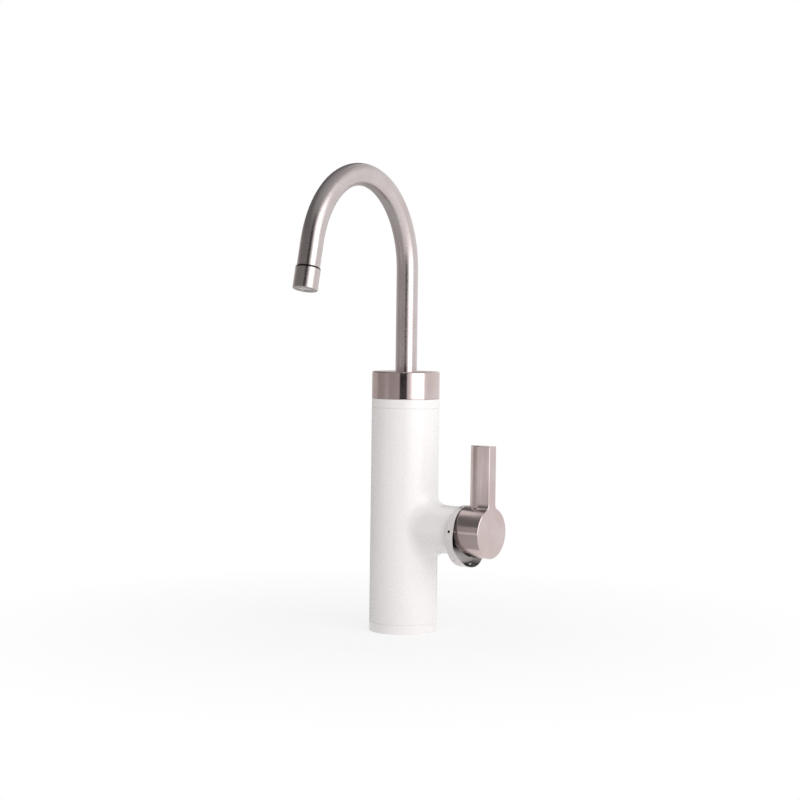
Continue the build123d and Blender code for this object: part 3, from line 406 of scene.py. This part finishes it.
def make_floor():
    half = floor_half_size
    corners = [(-half, -half, 0), (half, -half, 0), (half, half, 0), (-half, half, 0)]
    mesh = bpy.data.meshes.new("floor")
    mesh.from_pydata(corners, [], [(0, 1, 2, 3)])
    floor = bpy.data.objects.new("floor", mesh)
    bpy.context.scene.collection.objects.link(floor)
    shader = Shader("floor")
    shader.set(base_color=(*floor_colour, 1), roughness=0.9)
    shader.surface.inputs["Specular IOR Level"].default_value = 0.1
    white = shader.add("ShaderNodeEmission")
    away = shader.spread(shader.vector("LENGTH", shader.place), shadow_start, shadow_end)
    share = shader.math("ADD", shader.math("MULTIPLY", away, shadow_share), 1 - shadow_share)
    rays = shader.add("ShaderNodeLightPath")
    seen = shader.math("MAXIMUM", rays.outputs["Is Camera Ray"], rays.outputs["Is Glossy Ray"])
    seen = shader.math("MAXIMUM", seen, rays.outputs["Is Transmission Ray"])
    mix = shader.add("ShaderNodeMixShader")
    shader.feed(mix.inputs[0], shader.math("MULTIPLY", share, seen))
    shader.feed(mix.inputs[1], shader.surface.outputs[0])
    shader.feed(mix.inputs[2], white.outputs[0])
    output = next(node for node in shader.tree.nodes if node.type == "OUTPUT_MATERIAL")
    shader.feed(output.inputs["Surface"], mix.outputs[0])
    mesh.materials.append(shader.material)


make_floor()

# Camera: the photograph's place and angle, found by fitting the tap's edges
camera_azimuth = math.radians(35.85)
camera_elevation = math.radians(2.68)
camera_distance = 1.6249
camera_target = Vector((0, 0, 0.200))
camera_pan = math.radians(-0.18)
camera_tilt = math.radians(-2.52)
camera_roll = math.radians(0.74)
frame_pixels = 800
focal_pixels = 1832.8
sensor_width = 36.0


def make_camera():
    sin_a, cos_a = math.sin(camera_azimuth), math.cos(camera_azimuth)
    sin_e, cos_e = math.sin(camera_elevation), math.cos(camera_elevation)
    place = camera_target + camera_distance * Vector((sin_a * cos_e, -cos_a * cos_e, sin_e))
    level_ahead, level_right, up = Vector((-sin_a, cos_a, 0)), Vector((cos_a, sin_a, 0)), Z_AXIS
    ahead = (level_ahead * math.cos(camera_pan) * math.cos(camera_tilt)
             + level_right * math.sin(camera_pan) * math.cos(camera_tilt)
             + up * math.sin(camera_tilt)).normalized()
    right = ahead.cross(up).normalized()
    above = right.cross(ahead)
    rolled_right = right * math.cos(camera_roll) + above * math.sin(camera_roll)
    rolled_above = above * math.cos(camera_roll) - right * math.sin(camera_roll)
    data = bpy.data.cameras.new("camera")
    data.sensor_width = sensor_width
    data.lens = focal_pixels / frame_pixels * sensor_width
    camera = bpy.data.objects.new("camera", data)
    bpy.context.scene.collection.objects.link(camera)
    turn = Matrix((rolled_right, rolled_above, -ahead)).transposed().to_4x4()
    camera.matrix_world = Matrix.Translation(place) @ turn
    bpy.context.scene.camera = camera


make_camera()

# Light: an even white room, one tall soft window, and cards that the metal and enamel reflect

room_level = 0.72
window_span = (41, 100)     # azimuths of its two edges, where 0 is -Y and 90 degrees is +X
window_distance = 1.5
window_low, window_high = -0.35, 1.9
window_level = 1.55


def direction(azimuth):
    """The level direction at an azimuth in degrees."""
    turn = math.radians(azimuth)
    return Vector((math.sin(turn), -math.cos(turn), 0))


def make_window():
    first, last = window_span
    half_angle = math.radians((last - first) / 2)
    middle = (first + last) / 2
    width = 2 * window_distance * math.tan(half_angle)
    height = window_high - window_low
    light = bpy.data.lights.new("window", "AREA")
    light.shape = "RECTANGLE"
    light.size = width
    light.size_y = height
    light.energy = window_level * width * height * math.pi
    lamp = bpy.data.objects.new("window", light)
    lamp.location = direction(middle) * window_distance + Z_AXIS * (window_low + window_high) / 2
    lamp.rotation_mode = "QUATERNION"
    lamp.rotation_quaternion = direction(middle).to_track_quat("Z", "Y")
    bpy.context.scene.collection.objects.link(lamp)


make_window()

# Cards on a round wall: (name, azimuths, elevations seen from the tap's middle, level)
card_distance = 1.2
card_centre = 0.24
card_spacing = 0.02         # each wall card stands this much nearer than the one before
card_step = 3               # degrees of the wall to each flat piece of it
wall_low, wall_high = -32, 50       # elevations of the wall's foot and top
wall_cards = (
    ("side_wall", (-150, -75), (wall_low, 16), 0.56),
    ("grey_wall", (-75, 15), (wall_low, 16), 0.42),
    ("dark_roof", (-150, 15), (16, wall_high), 0.16),
    ("black_flag", (15, 40), (wall_low, wall_high), 0.005),
    ("window_edge", (40, 49), (wall_low, wall_high), 0.75),
    ("window_rim", (49, 56), (wall_low, wall_high), 1.2),
    ("pale_wall", (100, 210), (wall_low, 35), 0.93),
    ("upper_wall", (100, 210), (35, wall_high), 0.74),
)
shading_cards = ("side_wall", "grey_wall")      # these also shade the enamel
shading_tint = (1.0, 0.945, 0.93)

# Flat cards: (name, x span, y span, height, level at the least and at the most x)
tap_clearance = 0.035
table_height = 0.004
table_level = (0.42, 0.5)
ceiling_height = card_centre + card_distance * math.tan(math.radians(wall_high))
flat_cards = (
    ("ceiling", (-card_distance, card_distance), (-card_distance, card_distance), ceiling_height,
     (0.22, 0.6)),
    ("table_front", (-card_distance, 0.12), (-card_distance, -tap_clearance), table_height,
     table_level),
    ("table_left", (-card_distance, -tap_clearance), (-tap_clearance, card_distance),
     table_height, table_level),
    ("lever_card", (-0.66, -0.36), (-0.87, -0.83), (0.02, 0.118), (1.1, 1.1)),
)


def make_card(name, points, faces, level):
    """A glowing sheet that the reflections see, and the enamel's shade if it is a shading card."""
    mesh = bpy.data.meshes.new(name)
    mesh.from_pydata(points, [], faces)
    card = bpy.data.objects.new(name, mesh)
    bpy.context.scene.collection.objects.link(card)
    shader = Shader(name)
    split = shader.add("ShaderNodeSeparateXYZ")
    shader.feed(split.inputs[0], shader.place)
    xs = [point[0] for point in points]
    brightness = shader.spread(split.outputs["X"], min(xs), max(xs), *level)
    paper = shader.spread(shader.noise(shader.place, 3.0, 2.0), 0.3, 0.7, 0.94, 1.06)
    glow = shader.add("ShaderNodeEmission")
    shader.feed(glow.inputs["Strength"], shader.math("MULTIPLY", brightness, paper))
    output = next(node for node in shader.tree.nodes if node.type == "OUTPUT_MATERIAL")
    shader.feed(output.inputs["Surface"], glow.outputs[0])
    mesh.materials.append(shader.material)
    card.visible_camera = False
    if name in shading_cards:
        shader.feed(glow.inputs["Color"], (*shading_tint, 1))
    card.visible_diffuse = name in shading_cards
    card.visible_shadow = False
    card.visible_transmission = False


def make_wall_card(name, azimuths, elevations, level, nearer):
    steps = max(2, round((azimuths[1] - azimuths[0]) / card_step))
    points, faces = [], []
    for step in range(steps + 1):
        azimuth = azimuths[0] + (azimuths[1] - azimuths[0]) * step / steps
        for elevation in elevations:
            height = card_centre + card_distance * math.tan(math.radians(elevation))
            points.append(direction(azimuth) * (card_distance - nearer) + Z_AXIS * height)
    for step in range(steps):
        first = 2 * step
        faces.append((first, first + 2, first + 3, first + 1))
    make_card(name, points, faces, (level, level))


def make_flat_card(name, xs, ys, height, level):
    """A level sheet, or an upright one where its height is a span."""
    if isinstance(height, tuple):
        points = [(x, y, z) for z in height for x, y in zip(xs, reversed(ys))]
    else:
        points = [(x, y, height) for y in ys for x in xs]
    make_card(name, points, [(0, 1, 3, 2)], level)


for number, (card_name, card_azimuths, card_elevations, card_level) in enumerate(wall_cards):
    make_wall_card(card_name, card_azimuths, card_elevations, card_level, card_spacing * number)
for flat_card in flat_cards:
    make_flat_card(*flat_card)


def make_room():
    """White to the eye, the metal and anything clear; a plain level of light otherwise."""
    world = bpy.data.worlds.new("room")
    bpy.context.scene.world = world
    world.use_nodes = True
    tree = world.node_tree
    background = tree.nodes["Background"]
    background.inputs["Color"].default_value = (1, 1, 1, 1)
    rays = tree.nodes.new("ShaderNodeLightPath")
    seen = rays.outputs["Is Camera Ray"]
    for kind in ("Is Glossy Ray", "Is Transmission Ray"):
        largest = tree.nodes.new("ShaderNodeMath")
        largest.operation = "MAXIMUM"
        tree.links.new(seen, largest.inputs[0])
        tree.links.new(rays.outputs[kind], largest.inputs[1])
        seen = largest.outputs[0]
    level = tree.nodes.new("ShaderNodeMapRange")
    tree.links.new(seen, level.inputs["Value"])
    level.inputs["To Min"].default_value = room_level
    level.inputs["To Max"].default_value = 1.0
    tree.links.new(level.outputs["Result"], background.inputs["Strength"])


make_room()
bpy.context.scene.view_settings.view_transform = "Standard"
